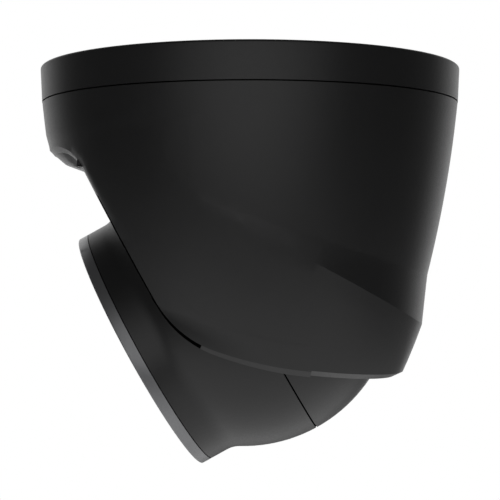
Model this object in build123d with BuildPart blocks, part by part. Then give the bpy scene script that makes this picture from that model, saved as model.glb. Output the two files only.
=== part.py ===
"""Turret security camera: a ceiling base, a turning shell and an aimable ball with its camera module.

Millimetres. The origin is the centre of the ceiling face, +Z points up into the ceiling,
and the lens looks towards -X, 61 degrees away from straight down.
"""
from build123d import *
import math
import os

os.makedirs("parts", exist_ok=True)

# ------------------------------------------------------------------ clearances
running_gap = 0.05        # radial clearance of a turning fit
bolt_gap = 0.05           # radial clearance of a screw in its thread hole
slip_gap = 0.1            # clearance of pieces that drop into each other
pan_play = 0.1            # axial play of the pan bearing
ball_gap = 0.45           # ball to the seat in the shell
yoke_gap = 0.3            # yoke to the ball inside it and to the pocket outside it
press_gap = 0.02          # radial clearance of a fixed pin, stud or plug
head_gap = 0.6            # radial clearance around a sunk screw head
hole_end = 0.5            # screw hole beyond the end of its screw

# ------------------------------------------------------------------ ceiling base
base_low_r = 68.65
base_draft = 0.5          # how much wider the base is at the ceiling
base_depth = 11.3
base_edge_round = 0.8
base_wall = 2.6
base_plate_t = 3.0
seam = 0.4                # open joint between base and shell
fixing_inset = 12.65      # from the base's rim to its ceiling screws
fixing_hole_r = 2.25
fixing_count = 4
gasket_inset = 3.45       # from the base's rim to its gasket
gasket_width = 3.0
gasket_t = 1.2
cable_port_r = 12.0
grommet_flange_r = 14.5
grommet_flange_t = 2.5
grommet_bore_r = 3.2
grommet_edge_round = 1.2

# ------------------------------------------------------------------ pan bearing
hub_r = 46.0
hub_wall = 6.0
hub_shoulder = 3.5        # how far the hub's thrust shoulder stands out
pan_plate_t = 2.5
pan_bearing_t = 0.8
pan_bearing_width = 5.5
retaining_ring_t = 2.5
retaining_ring_r = 52.0
m3_r = 1.5
m3_clear_r = 1.7
m3_head_r = 2.8
m3_head_h = 1.8
retaining_screw_length = 6.5
plate_screw_length = 8.0
plate_screw_inset = 4.7   # from the pan plate's rim to its screws
screw_angle = 45.0
screw_count = 4

# ------------------------------------------------------------------ shell
shell_wall = 3.0
shell_low_z = -112.0      # the form is made down to here, and its lower edge cuts it shorter
shell_step = 0.11         # how much narrower the shell is than the base at their seam
barrel_arc_r = 394.66     # upper side wall: a long arc turned about the pan axis
barrel_arc_z = 28.08
skirt_shift = 2.1         # rear skirt: an almost upright cone about an axis ahead of the pan axis
skirt_top_z = -43.6
skirt_inset = 0.536       # skirt's top inside the upper side wall
skirt_slope = 0.1085
skirt_cap_in = 3.0        # hidden top of the skirt, inside the upper side wall
skirt_cap_h = 5.0
lean_angle = 5.0          # lower side wall: a long arc turned about a leaning axis
lean_x = 4.58
lean_z = -59.6
lean_arc_r = 201.85
lean_arc_inset = 202.22   # centre of that arc, inward from the base's rim
lean_arc_w = 54.756
lean_run_out_w = 40.0
lean_top_w = 58.0
lean_top_out = 2.35       # top of the leaning form, outward from the base's rim
lean_low_w = -62.0

brow_z = -26.8            # lower edge of the front
brow_inset = 5.65         # from the base's rim to where the brow begins to curve
brow_round_r = 14.0
face_angle = 61.0         # slope of the side walls' front edge
face_run = 45.8
heel_round_r = 33.0
heel_turn = 42.0
belly_round_r = 129.0
belly_turn = 10.5
tail_round_r = 600.0
tail_turn = 3.5
lip_drop = 1.8            # sloping lip below the outer edge
lip_in = 1.2
hood_slope = 18.0         # underside of the front, above the swinging lens head
hood_corner_inset = 7.35  # from the base's rim to the corner between bevel and underside
hood_corner_z = -31.3
hood_bevel = 46.0
hood_bevel_rise = 12.0    # half the height that the bevel's cone is made to
hood_front_inset = 0.65
hood_joint_inset = 16.65  # where the thick front ends and the thinner plate begins
hood_lap = 1.0
hood_back_x = -36.0
slot_back_x = -43.9
rim_step = 0.74           # pan plate inside the base's inner wall
ledge_width = 3.2         # ledge that carries the pan plate
ledge_t = 3.0
boss_r = 4.5
boss_length = 10.0
boss_floor = 1.0          # solid end of a boss below its screw hole
swing_gap = 1.0           # swinging lens head to the shell

# ------------------------------------------------------------------ ball
ball_r = 50.3
ball_x = -2.1
ball_z = -74.3
ball_wall = 2.5
aim_angle = 61.0          # optical axis away from straight down
groove = 0.5
groove_s = -0.13          # rear side of the groove, along the optical axis
collar_r = 42.4
collar_wall = 2.5
collar_fillet_r = 9.0
collar_height = 8.09      # collar's front end ahead of where its side meets the ball
collar_start_turn = 75.0  # a point on the ball ahead of its groove, by its turn from the optical axis
inner_start_turn = 70.0
skirt_wall = 2.8
skirt_inset_r = 3.1       # front half's skirt inside the ball's surface
skirt_length = 5.5
ring_ledge_r = 38.0
ring_ledge_front_s = 4.0
ring_ledge_rear_s = -1.0
mask_ledge_in = 6.6       # ledge's bore inside the collar
mask_ledge_back = 4.15     # ledge behind the collar's end
mask_ledge_t = 1.5
cord_r = 0.9              # round seal section
cord_room = 0.15          # seal groove beyond the seal, each way
cord_squeeze = 0.2        # seal groove less deep than the seal is thick
ball_seal_s = -3.0

# ------------------------------------------------------------------ tilt yoke and rotation pivot
yoke_t = 1.3
yoke_width = 10.0
yoke_eye_r = 9.0
yoke_eye_t = 2.0
tilt_pin_r = 2.5
tilt_pin_skin = 1.82      # shell left outside the bottom of a pin hole
pocket_floor_z = -79.8
pocket_margin = 1.5       # pocket beyond the yoke's arm, towards the front
stud_r = 5.0
stud_bore_r = 3.2
stud_flange_r = 7.0
stud_flange_t = 2.0
washer_r = 8.0
washer_t = 0.8
nut_across = 15.0
nut_t = 3.0
stud_end = 1.0            # stud beyond the nut
seal_bore_r = 1.5
seal_length = 6.0

# ------------------------------------------------------------------ front: bezel, window, mask
bezel_seam = 0.3
bezel_height = 3.75        # bezel's front ahead of the collar's end
bezel_edge_round = 0.4
bezel_lip_t = 0.55
bezel_lip_overlap = 1.1   # bezel's lip over the window's edge
bezel_spigot = 4.1
bezel_seal_back = 1.95     # middle of the bezel's seal behind the collar's end
bezel_seal_in = 4.2       # floor of the seal groove inside the collar
bezel_cord_r = 0.78
window_inset = 5.1        # window's rim inside the collar
window_t = 2.1
window_gasket_t = 0.9
window_gasket_width = 3.6
mask_t = 1.5
mask_rim = 1.2
mask_lens_r = 11.4
shroud_inner_r = 10.5
shroud_back = 4.75         # rear of the lens shroud behind the collar's end
led_offset = 22.0
led_window_r = 7.0
microphone_inset = 12.3   # from the window's rim to the ports
microphone_port_r = 0.9
microphone_r = 2.4
microphone_t = 2.5
light_port_r = 1.8
light_sensor_size = (3.2, 2.4)
light_sensor_t = 1.2
post_inset = 6.8          # from the window's rim to the mask's posts
post_r = 2.4
post_length = 4.8
led_board_t = 1.6
led_board_inset = 2.8     # board's rim inside the window's rim
led_board_inner_r = 14.0
led_size = 5.0
led_t = 1.6
reflector_r = 6.6
reflector_base_r = 3.8
reflector_slope = 24.0
m2_r = 1.0
m2_head_r = 2.0
m2_head_h = 1.4

# ------------------------------------------------------------------ camera module
chassis_t = 2.0
chassis_window = 26.0
pillar_circle_r = 30.0
pillar_r = 4.0
pillar_end_s = -31.4
rear_boss_r = 5.5
rear_screw_seat_s = -34.5
rear_screw_length = 12.0
rear_hole_end = 1.0
chassis_screw_circle_r = 41.2
chassis_head_r = 2.6
chassis_screw_angle = 60.0
chassis_screw_length = 5.5
board_t = 1.6
main_board_r = 24.5
board_screw_grip = 3.6     # board screws inside their spacers
main_spacer_length = 7.0
main_spacer_circle_r = 21.0
spacer_r = 2.4
processor_size = 14.0
processor_t = 1.5
thermal_pad_t = 0.8
sink_size = 34.0
sink_base_t = 2.5
sink_fin_height = 9.0
sink_fin_t = 1.6
sink_fin_count = 7
connector_length = 12.0
connector_width = 4.0
connector_height = 6.0
connector_wall = 0.8
connector_gap = 0.8       # connector to the heat sink's side
connector_floor = 1.6
sensor_board_size = 36.0
board_corner_r = 2.0
sensor_spacer_length = 4.0
sensor_spacer_pitch = 29.0
sensor_size = (10.0, 9.0)
sensor_t = 1.2
holder_size = 20.0
holder_height = 7.4
holder_cavity = 14.0
holder_cavity_height = 3.4
holder_neck_r = 8.6
holder_neck_length = 5.0
holder_aperture_r = 4.5
filter_r = 5.5
filter_t = 0.8
filter_ledge = 0.6
filter_room = 0.2
barrel_thread_r = 6.4
barrel_body_r = 7.6
barrel_body_length = 6.0
barrel_head_r = 10.0
barrel_head_length = 7.5
barrel_edge = 0.4
barrel_gap = 1.0          # focusing room behind the barrel's thread and its body
barrel_bore_r = 4.6
front_glass_r = 8.2
front_glass_seat = 5.5
front_glass_edge = 3.0
front_glass_rise = 3.4
rear_glass_r = 4.5
rear_glass_t = 2.4
rear_glass_in = 1.0       # rear glass inside the barrel's rear end

# ------------------------------------------------------------------ derived places
far = 2 * base_low_r      # clear of the whole camera
shell_top_z = -(base_depth + seam)
plate_low_z = shell_top_z - pan_plate_t
bearing_top_z = plate_low_z - pan_play
hub_low_z = bearing_top_z - pan_bearing_t
fixing_circle_r = base_low_r - fixing_inset
gasket_outer_r = base_low_r - gasket_inset
barrel_arc_x = base_low_r - shell_step - math.sqrt(barrel_arc_r ** 2 - (shell_top_z - barrel_arc_z) ** 2)
lean_arc_x = base_low_r - lean_arc_inset
hood_corner_x = hood_corner_inset - base_low_r
hood_joint_x = hood_joint_inset - base_low_r
hood_front_x = hood_front_inset - base_low_r
plate_r = base_low_r - shell_step - base_wall - rim_step
plate_screw_r = plate_r - plate_screw_inset
retaining_screw_r = hub_r - hub_wall / 2
seat_r = ball_r + ball_gap
yoke_inner_r = ball_r + yoke_gap
yoke_outer_r = yoke_inner_r + yoke_t
pocket_r = yoke_outer_r + yoke_gap
inner_ball_r = ball_r - ball_wall
skirt_outer_r = ball_r - skirt_inset_r
collar_inner_r = collar_r - collar_wall
window_r = collar_r - window_inset
collar_end_s = math.sqrt(ball_r ** 2 - collar_r ** 2) + collar_height
mask_ledge_s = collar_end_s - mask_ledge_back
bezel_front_s = collar_end_s + bezel_height
bezel_seal_s = collar_end_s - bezel_seal_back
shroud_rear_s = collar_end_s - shroud_back

aim = math.radians(aim_angle)
aim_dir = (-math.sin(aim), 0, -math.cos(aim))
head_up_dir = (-math.cos(aim), 0, math.sin(aim))
ball_centre = (ball_x, 0, ball_z)
optical_axis = Axis(ball_centre, aim_dir)
eye = Plane(origin=ball_centre, x_dir=head_up_dir, z_dir=aim_dir)
eye_section = Plane(origin=ball_centre, x_dir=head_up_dir, z_dir=(0, -1, 0))
side_plane = Plane(origin=ball_centre, x_dir=head_up_dir, z_dir=(0, 1, 0))

lean = math.radians(lean_angle)
lean_dir = (-math.sin(lean), 0, math.cos(lean))
lean_axis = Axis((lean_x, 0, lean_z), lean_dir)
lean_section = Plane(origin=(lean_x, 0, lean_z), x_dir=(math.cos(lean), 0, math.sin(lean)), z_dir=(0, -1, 0))


# ------------------------------------------------------------------ shared shapes
def ring(plane, outer_r, inner_r, start, end, mode=Mode.ADD):
    """A plain ring, or a disc when inner_r is 0, between two stations along a plane's normal."""
    with BuildSketch(plane.offset(start)) as outline:
        Circle(outer_r)
        if inner_r > 0:
            Circle(inner_r, mode=Mode.SUBTRACT)
    extrude(outline.sketch, amount=end - start, mode=mode)


def discs(plane, radius, count, circle_r, start, end, first_angle=0.0, mode=Mode.ADD):
    """Equal discs on a circle: screw shanks, heads, posts and their holes."""
    with BuildSketch(plane.offset(start)) as outline:
        with PolarLocations(circle_r, count, start_angle=first_angle):
            Circle(radius)
    extrude(outline.sketch, amount=end - start, mode=mode)


def block(plane, length, width, start, end, x=0.0, y=0.0, mode=Mode.ADD):
    """A rectangular block between two stations along a plane's normal."""
    with BuildSketch(plane.offset(start)) as outline:
        with Locations((x, y)):
            Rectangle(length, width)
    extrude(outline.sketch, amount=end - start, mode=mode)


def barrel_r(z, inset=0.0):
    """Radius of the upper side wall at a height."""
    return barrel_arc_x - inset + math.sqrt(barrel_arc_r ** 2 - (z - barrel_arc_z) ** 2)


def leaning_r(w, inset=0.0):
    """Radius of the lower side wall at a distance along its leaning axis."""
    return lean_arc_x - inset + math.sqrt(lean_arc_r ** 2 - (w - lean_arc_w) ** 2)


def shell_form(inset, top_z):
    """The shell's solid form, before its lower edge is cut, moved inward by inset."""
    mid_z = (top_z + shell_low_z) / 2
    mid_w = (lean_low_w + lean_run_out_w) / 2
    with BuildPart() as form:
        with BuildSketch(Plane.XZ):
            with BuildLine():
                Polyline(
                    (barrel_r(shell_low_z, inset), shell_low_z),
                    (0, shell_low_z),
                    (0, top_z),
                    (barrel_r(top_z, inset), top_z),
                )
                ThreePointArc(
                    (barrel_r(top_z, inset), top_z),
                    (barrel_r(mid_z, inset), mid_z),
                    (barrel_r(shell_low_z, inset), shell_low_z),
                )
            make_face()
        revolve(axis=Axis.Z)
        skirt_top_r = barrel_r(skirt_top_z, inset) - skirt_inset
        skirt_low_r = skirt_top_r - skirt_slope * (skirt_top_z - shell_low_z)
        with BuildSketch(Plane.XZ.shift_origin((-skirt_shift, 0, 0))):
            with BuildLine():
                Polyline(
                    (0, shell_low_z),
                    (skirt_low_r, shell_low_z),
                    (skirt_top_r, skirt_top_z),
                    (skirt_top_r - skirt_cap_in, skirt_top_z + skirt_cap_h),
                    (0, skirt_top_z + skirt_cap_h),
                    close=True,
                )
            make_face()
        revolve(axis=Axis((-skirt_shift, 0, 0), (0, 0, 1)))
        with BuildSketch(lean_section):
            with BuildLine():
                Polyline(
                    (leaning_r(lean_low_w, inset), lean_low_w),
                    (0, lean_low_w),
                    (0, lean_top_w),
                    (base_low_r + lean_top_out - inset, lean_top_w),
                    (leaning_r(lean_run_out_w, inset), lean_run_out_w),
                )
                ThreePointArc(
                    (leaning_r(lean_run_out_w, inset), lean_run_out_w),
                    (leaning_r(mid_w, inset), mid_w),
                    (leaning_r(lean_low_w, inset), lean_low_w),
                )
            make_face()
        revolve(axis=lean_axis, mode=Mode.INTERSECT)
    return form.part


def lower_edge(drop):
    """Side view of the shell's lower edge, moved outward by drop, from the brow to the tail."""
    start = (brow_inset - base_low_r, brow_z - drop)
    lead = Line((start[0] - far, start[1]), start)
    brow = JernArc(start, (1, 0), brow_round_r - drop, -face_angle)
    face = Line(brow @ 1, (brow @ 1) + (brow % 1) * face_run)
    heel = JernArc(face @ 1, face % 1, heel_round_r + drop, heel_turn)
    belly = JernArc(heel @ 1, heel % 1, belly_round_r + drop, belly_turn)
    tail = JernArc(belly @ 1, belly % 1, tail_round_r + drop, tail_turn)
    run_out = Line(tail @ 1, (tail @ 1) + (tail % 1) * far)
    return lead, run_out


def below_edge(drop):
    """Everything below the shell's lower edge, as a solid right across the camera."""
    with BuildPart() as below:
        with BuildSketch(Plane.XZ):
            with BuildLine():
                lead, run_out = lower_edge(drop)
                end = run_out @ 1
                Polyline(end, (end.X, -2 * far), ((lead @ 0).X, -2 * far), lead @ 0)
            make_face()
        extrude(amount=far, both=True)
    return below.part


def to_leaning(x, z):
    """Radius and distance along the leaning axis of a point in the mid plane, in front of the axis."""
    dx = x - lean_x
    dz = z - lean_z
    return -(dx * math.cos(lean) + dz * math.sin(lean)), dz * math.cos(lean) - dx * math.sin(lean)


def wall_y(x, z):
    """Distance of the lower side wall from the mid plane."""
    radius, w = to_leaning(x, z)
    return math.sqrt(leaning_r(w) ** 2 - radius ** 2)


def hood_z(x):
    """Height of the underside of the front, above the lens head."""
    return hood_corner_z - math.tan(math.radians(hood_slope)) * (x - hood_corner_x)


# ------------------------------------------------------------------ ceiling base
with BuildPart() as base_ring:
    with BuildSketch(Plane.XZ):
        with BuildLine():
            Polyline(
                (cable_port_r, 0),
                (base_low_r + base_draft, 0),
                (base_low_r, -base_depth),
                (base_low_r - base_wall, -base_depth),
                (base_low_r - base_wall, -base_plate_t),
                (hub_r + hub_shoulder, -base_plate_t),
                (hub_r + hub_shoulder, shell_top_z + pan_play),
                (hub_r, shell_top_z + pan_play),
                (hub_r, hub_low_z),
                (hub_r - hub_wall, hub_low_z),
                (hub_r - hub_wall, -base_plate_t),
                (cable_port_r, -base_plate_t),
                close=True,
            )
        make_face()
    revolve(axis=Axis.Z)
    rim = base_ring.edges().filter_by(GeomType.CIRCLE).sort_by(lambda e: e.radius)[-1]
    fillet(rim, base_edge_round)
    ring(Plane.XY, gasket_outer_r, gasket_outer_r - gasket_width, 0, -gasket_t, mode=Mode.SUBTRACT)
    discs(Plane.XY, fixing_hole_r, fixing_count, fixing_circle_r, 0, -base_plate_t, mode=Mode.SUBTRACT)
    discs(
        Plane.XY, m3_r + bolt_gap, screw_count, retaining_screw_r,
        hub_low_z, hub_low_z + retaining_screw_length + hole_end,
        first_angle=screw_angle, mode=Mode.SUBTRACT,
    )

with BuildPart() as base_gasket:
    ring(Plane.XY, gasket_outer_r - slip_gap, gasket_outer_r - gasket_width + slip_gap, -gasket_t, 0)

with BuildPart() as cable_grommet:
    ring(Plane.XY, cable_port_r - slip_gap, grommet_bore_r, -base_plate_t, 0)
    ring(Plane.XY, grommet_flange_r, grommet_bore_r, -base_plate_t - grommet_flange_t, -base_plate_t)
    lower_rims = cable_grommet.edges().filter_by(GeomType.CIRCLE).group_by(Axis.Z)[0]
    lower_rim = lower_rims.sort_by(SortBy.RADIUS)[-1]
    fillet(lower_rim, grommet_edge_round)

with BuildPart() as pan_bearing:
    ring(Plane.XY, hub_r + pan_bearing_width, hub_r + slip_gap, hub_low_z, bearing_top_z)

with BuildPart() as retaining_ring:
    ring(Plane.XY, retaining_ring_r, hub_r - hub_wall, hub_low_z - retaining_ring_t, hub_low_z)
    discs(
        Plane.XY, m3_clear_r, screw_count, retaining_screw_r,
        hub_low_z - retaining_ring_t, hub_low_z, first_angle=screw_angle, mode=Mode.SUBTRACT,
    )

with BuildPart() as retaining_screws:
    head_z = hub_low_z - retaining_ring_t
    discs(
        Plane.XY, m3_head_r, screw_count, retaining_screw_r,
        head_z, head_z - m3_head_h, first_angle=screw_angle,
    )
    discs(
        Plane.XY, m3_r, screw_count, retaining_screw_r,
        head_z, hub_low_z + retaining_screw_length, first_angle=screw_angle,
    )

# ------------------------------------------------------------------ turning shell
shell_solid = shell_form(0, shell_top_z)
shell_hollow = shell_form(shell_wall, plate_low_z - ledge_t)
slot_half = collar_r + swing_gap
swing_r = math.hypot(collar_r, bezel_front_s) + swing_gap
tilt_pin_seat = wall_y(ball_x, ball_z) - tilt_pin_skin

with BuildPart() as hood:
    # thick front of the hood, bevelled like the brow in front of it
    with BuildSketch(Plane.XZ):
        Polygon(
            (hood_front_x, hood_z(hood_front_x)),
            (hood_joint_x, hood_z(hood_joint_x)),
            (hood_joint_x, brow_z),
            (hood_front_x, brow_z),
            align=None,
        )
    extrude(amount=slot_half, both=True)
    corner_u, corner_w = to_leaning(hood_corner_x, hood_corner_z)
    run = hood_bevel_rise / math.tan(math.radians(hood_bevel))
    with BuildSketch(lean_section):
        Polygon(
            (0, corner_w - hood_bevel_rise),
            (corner_u - run, corner_w - hood_bevel_rise),
            (corner_u + run, corner_w + hood_bevel_rise),
            (0, corner_w + hood_bevel_rise),
            align=None,
        )
    revolve(axis=lean_axis, mode=Mode.INTERSECT)
    # thinner plate that runs on to the ball
    with BuildSketch(Plane.XZ):
        Polygon(
            (hood_joint_x - hood_lap, hood_z(hood_joint_x - hood_lap)),
            (hood_back_x, hood_z(hood_back_x)),
            (hood_back_x, hood_z(hood_back_x) + shell_wall),
            (hood_joint_x - hood_lap, hood_z(hood_joint_x - hood_lap) + shell_wall),
            align=None,
        )
    extrude(amount=ball_r, both=True)
    add(shell_solid, mode=Mode.INTERSECT)

with BuildPart() as hollow:
    add(shell_hollow)
    add(below_edge(-shell_wall), mode=Mode.SUBTRACT)
    add(hood.part, mode=Mode.SUBTRACT)

with BuildPart() as swing_slot:
    with BuildSketch(Plane.XZ):
        Polygon(
            (hood_front_x, hood_z(hood_front_x)),
            (slot_back_x, hood_z(slot_back_x)),
            (slot_back_x + (hood_z(slot_back_x) - ball_z) / math.tan(aim), ball_z),
            (-far, ball_z),
            (-far, hood_z(hood_front_x)),
            align=None,
        )
    extrude(amount=slot_half, both=True)
    with Locations(ball_centre):
        Sphere(swing_r, mode=Mode.INTERSECT)

with BuildPart() as yoke_pocket:
    with Locations(ball_centre):
        Sphere(pocket_r)
    with BuildSketch(Plane.XY.offset(pocket_floor_z)):
        with Locations((ball_x - yoke_width / 2 - pocket_margin, 0)):
            Rectangle(2 * pocket_r, 3 * pocket_r, align=(Align.MIN, Align.CENTER))
    extrude(amount=2 * pocket_r, mode=Mode.INTERSECT)

with BuildPart() as shell:
    add(shell_solid)
    add(below_edge(lip_drop), mode=Mode.SUBTRACT)
    flat_kinds = (GeomType.PLANE, GeomType.CYLINDER)
    cut_faces = shell.faces().filter_by(lambda f: f.geom_type in flat_kinds and f.center().Z < plate_low_z)
    lip_edges = ShapeList(e for f in cut_faces for e in f.edges() if e.geom_type != GeomType.LINE)
    lip_wall = shell.faces().filter_by(lambda f: any(lip_edges[0].is_same(e) for e in f.edges())) - cut_faces
    chamfer(lip_edges, length=lip_drop, length2=lip_in, reference=lip_wall[0])
    add(hood.part)
    add(hollow.part, mode=Mode.SUBTRACT)
    add(swing_slot.part, mode=Mode.SUBTRACT)
    # seat around the ball, and a pocket above it for the yoke
    with Locations(ball_centre):
        Sphere(seat_r, mode=Mode.SUBTRACT)
    add(yoke_pocket.part, mode=Mode.SUBTRACT)
    ring(side_plane, tilt_pin_r + running_gap, 0, -tilt_pin_seat, tilt_pin_seat, mode=Mode.SUBTRACT)
    # recess, ledge and screw bosses for the pan plate
    ring(Plane.XY, plate_r + slip_gap, 0, plate_low_z, shell_top_z, mode=Mode.SUBTRACT)
    ring(Plane.XY, plate_r - ledge_width, 0, plate_low_z - ledge_t, plate_low_z, mode=Mode.SUBTRACT)
    discs(
        Plane.XY, boss_r, screw_count, plate_screw_r,
        plate_low_z, plate_low_z - boss_length, first_angle=screw_angle,
    )
    discs(
        Plane.XY, m3_r + bolt_gap, screw_count, plate_screw_r,
        plate_low_z, plate_low_z - boss_length + boss_floor, first_angle=screw_angle, mode=Mode.SUBTRACT,
    )

with BuildPart() as pan_plate:
    ring(Plane.XY, plate_r, hub_r + running_gap, plate_low_z, shell_top_z)
    discs(
        Plane.XY, m3_clear_r, screw_count, plate_screw_r,
        plate_low_z, shell_top_z, first_angle=screw_angle, mode=Mode.SUBTRACT,
    )

with BuildPart() as pan_plate_screws:
    discs(
        Plane.XY, m3_head_r, screw_count, plate_screw_r,
        shell_top_z, shell_top_z + m3_head_h, first_angle=screw_angle,
    )
    discs(
        Plane.XY, m3_r, screw_count, plate_screw_r,
        shell_top_z - plate_screw_length, shell_top_z, first_angle=screw_angle,
    )

# ------------------------------------------------------------------ tilt yoke
eye_low_s = -(yoke_inner_r + yoke_eye_t)
washer_low_s = eye_low_s - washer_t
nut_seat_s = washer_low_s - pan_play
nut_low_s = nut_seat_s - nut_t

with BuildPart() as tilt_yoke:
    # a bow from one side of the ball over its back to the other
    with Locations(ball_centre):
        Sphere(yoke_outer_r)
        Sphere(yoke_inner_r, mode=Mode.SUBTRACT)
    with BuildSketch(side_plane):
        Circle(yoke_width / 2)
        Rectangle(yoke_width, pocket_r, align=(Align.CENTER, Align.MIN))
    extrude(amount=yoke_outer_r, both=True, mode=Mode.INTERSECT)
    ring(eye, yoke_eye_r, 0, eye_low_s, 0)
    with Locations(ball_centre):
        Sphere(yoke_inner_r, mode=Mode.SUBTRACT)
    ring(eye, stud_r + running_gap, 0, eye_low_s, 0, mode=Mode.SUBTRACT)
    ring(side_plane, tilt_pin_r + press_gap, 0, -pocket_r, pocket_r, mode=Mode.SUBTRACT)

with BuildPart() as tilt_pins:
    ring(side_plane, tilt_pin_r, 0, yoke_inner_r + slip_gap, tilt_pin_seat - slip_gap)
    ring(side_plane, tilt_pin_r, 0, -yoke_inner_r - slip_gap, -tilt_pin_seat + slip_gap)

with BuildPart() as pivot_washer:
    ring(eye, washer_r, stud_r + slip_gap, washer_low_s, eye_low_s)

# ------------------------------------------------------------------ ball
def sphere_s(radius, r):
    """Station of a sphere's surface at a distance r from the optical axis."""
    return math.sqrt(radius ** 2 - r ** 2)


groove_front_s = groove_s + groove
fillet_reach = ball_r + collar_fillet_r
fillet_centre = (collar_r + collar_fillet_r, sphere_s(fillet_reach, collar_r + collar_fillet_r))
fillet_start = tuple(v * ball_r / fillet_reach for v in fillet_centre)
fillet_half = math.atan2(fillet_centre[1], fillet_centre[0]) / 2
fillet_mid = (
    fillet_centre[0] - collar_fillet_r * math.cos(fillet_half),
    fillet_centre[1] - collar_fillet_r * math.sin(fillet_half),
)
collar_start = math.radians(collar_start_turn)
inner_start = math.radians(inner_start_turn)
front_mid = ball_r * math.sin(collar_start), ball_r * math.cos(collar_start)
inner_mid = inner_ball_r * math.sin(inner_start), inner_ball_r * math.cos(inner_start)
mask_ledge_r = collar_r - mask_ledge_in
skirt_inner_r = skirt_outer_r - skirt_wall
seal_half = cord_r + cord_room
chassis_rear_s = ring_ledge_rear_s - chassis_t
ball_seal_floor_r = skirt_outer_r - 2 * cord_r + cord_squeeze

with BuildPart() as ball_front:
    with BuildSketch(eye_section):
        with BuildLine():
            Polyline(
                (skirt_outer_r, -skirt_length),
                (skirt_outer_r, groove_front_s),
                (sphere_s(ball_r, groove_front_s), groove_front_s),
            )
            ThreePointArc((sphere_s(ball_r, groove_front_s), groove_front_s), front_mid, fillet_start)
            ThreePointArc(fillet_start, fillet_mid, (collar_r, fillet_centre[1]))
            Polyline(
                (collar_r, fillet_centre[1]),
                (collar_r, collar_end_s),
                (collar_inner_r, collar_end_s),
                (collar_inner_r, mask_ledge_s),
                (mask_ledge_r, mask_ledge_s),
                (mask_ledge_r, mask_ledge_s - mask_ledge_t),
                (collar_inner_r, mask_ledge_s - mask_ledge_t),
                (collar_inner_r, sphere_s(inner_ball_r, collar_inner_r)),
            )
            ThreePointArc(
                (collar_inner_r, sphere_s(inner_ball_r, collar_inner_r)),
                inner_mid,
                (sphere_s(inner_ball_r, ring_ledge_front_s), ring_ledge_front_s),
            )
            Polyline(
                (sphere_s(inner_ball_r, ring_ledge_front_s), ring_ledge_front_s),
                (ring_ledge_r, ring_ledge_front_s),
                (ring_ledge_r, ring_ledge_rear_s),
                (skirt_inner_r, ring_ledge_rear_s),
                (skirt_inner_r, -skirt_length),
                (skirt_outer_r, -skirt_length),
            )
        make_face()
    revolve(axis=optical_axis)
    discs(
        eye, m3_r + bolt_gap, 3, chassis_screw_circle_r,
        ring_ledge_rear_s, chassis_rear_s + chassis_screw_length + hole_end,
        first_angle=chassis_screw_angle, mode=Mode.SUBTRACT,
    )
    seal_span = (ball_seal_s - seal_half, ball_seal_s + seal_half)
    ring(eye, ball_r, ball_seal_floor_r, *seal_span, mode=Mode.SUBTRACT)

with BuildPart() as ball_seal:
    with BuildSketch(eye_section):
        with Locations((ball_seal_floor_r + cord_r, ball_seal_s)):
            Circle(cord_r)
    revolve(axis=optical_axis)

with BuildPart() as rear_skin:
    with Locations(ball_centre):
        Sphere(ball_r)
        Sphere(inner_ball_r, mode=Mode.SUBTRACT)
    ring(eye, pocket_r, 0, groove_s, pocket_r, mode=Mode.SUBTRACT)

with BuildPart() as ball_rear:
    discs(eye, rear_boss_r, 3, pillar_circle_r, -ball_r, pillar_end_s)
    with Locations(ball_centre):
        Sphere(ball_r - ball_wall / 2, mode=Mode.INTERSECT)
    add(rear_skin.part)
    discs(eye, m3_clear_r, 3, pillar_circle_r, -ball_r, pillar_end_s, mode=Mode.SUBTRACT)
    discs(eye, m3_head_r + head_gap, 3, pillar_circle_r, -ball_r, rear_screw_seat_s, mode=Mode.SUBTRACT)
    ring(eye, stud_r + press_gap, 0, -ball_r, 0, mode=Mode.SUBTRACT)

with BuildPart() as ball_screws:
    discs(eye, m3_head_r, 3, pillar_circle_r, rear_screw_seat_s - m3_head_h, rear_screw_seat_s)
    discs(eye, m3_r, 3, pillar_circle_r, rear_screw_seat_s, rear_screw_seat_s + rear_screw_length)

# ------------------------------------------------------------------ rotation pivot
flange_seat_s = press_gap - sphere_s(inner_ball_r, stud_flange_r)

with BuildPart() as pivot_stud:
    ring(eye, stud_r, stud_bore_r, nut_low_s - stud_end, flange_seat_s + stud_flange_t)
    ring(eye, stud_flange_r, stud_bore_r, flange_seat_s, flange_seat_s + stud_flange_t)

with BuildPart() as pivot_nut:
    with BuildSketch(eye.offset(nut_low_s)):
        RegularPolygon(nut_across / 2, 6, major_radius=False)
        Circle(stud_r + press_gap, mode=Mode.SUBTRACT)
    extrude(amount=nut_t)

with BuildPart() as stud_seal:
    ring(
        eye, stud_bore_r - press_gap, seal_bore_r,
        nut_low_s - stud_end, nut_low_s - stud_end + seal_length,
    )

# ------------------------------------------------------------------ chassis and boards
with BuildPart() as chassis:
    ring(eye, skirt_inner_r - slip_gap, 0, chassis_rear_s, ring_ledge_rear_s)
    block(eye, chassis_window, chassis_window, chassis_rear_s, ring_ledge_rear_s, mode=Mode.SUBTRACT)
    discs(eye, pillar_r, 3, pillar_circle_r, pillar_end_s + slip_gap, chassis_rear_s)
    discs(
        eye, m3_r + bolt_gap, 3, pillar_circle_r,
        pillar_end_s, rear_screw_seat_s + rear_screw_length + rear_hole_end, mode=Mode.SUBTRACT,
    )
    discs(
        eye, m3_clear_r, 3, chassis_screw_circle_r,
        chassis_rear_s, ring_ledge_rear_s, first_angle=chassis_screw_angle, mode=Mode.SUBTRACT,
    )
    discs(
        eye, m2_r + bolt_gap, 4, main_spacer_circle_r,
        chassis_rear_s, ring_ledge_rear_s, first_angle=screw_angle, mode=Mode.SUBTRACT,
    )

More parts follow.
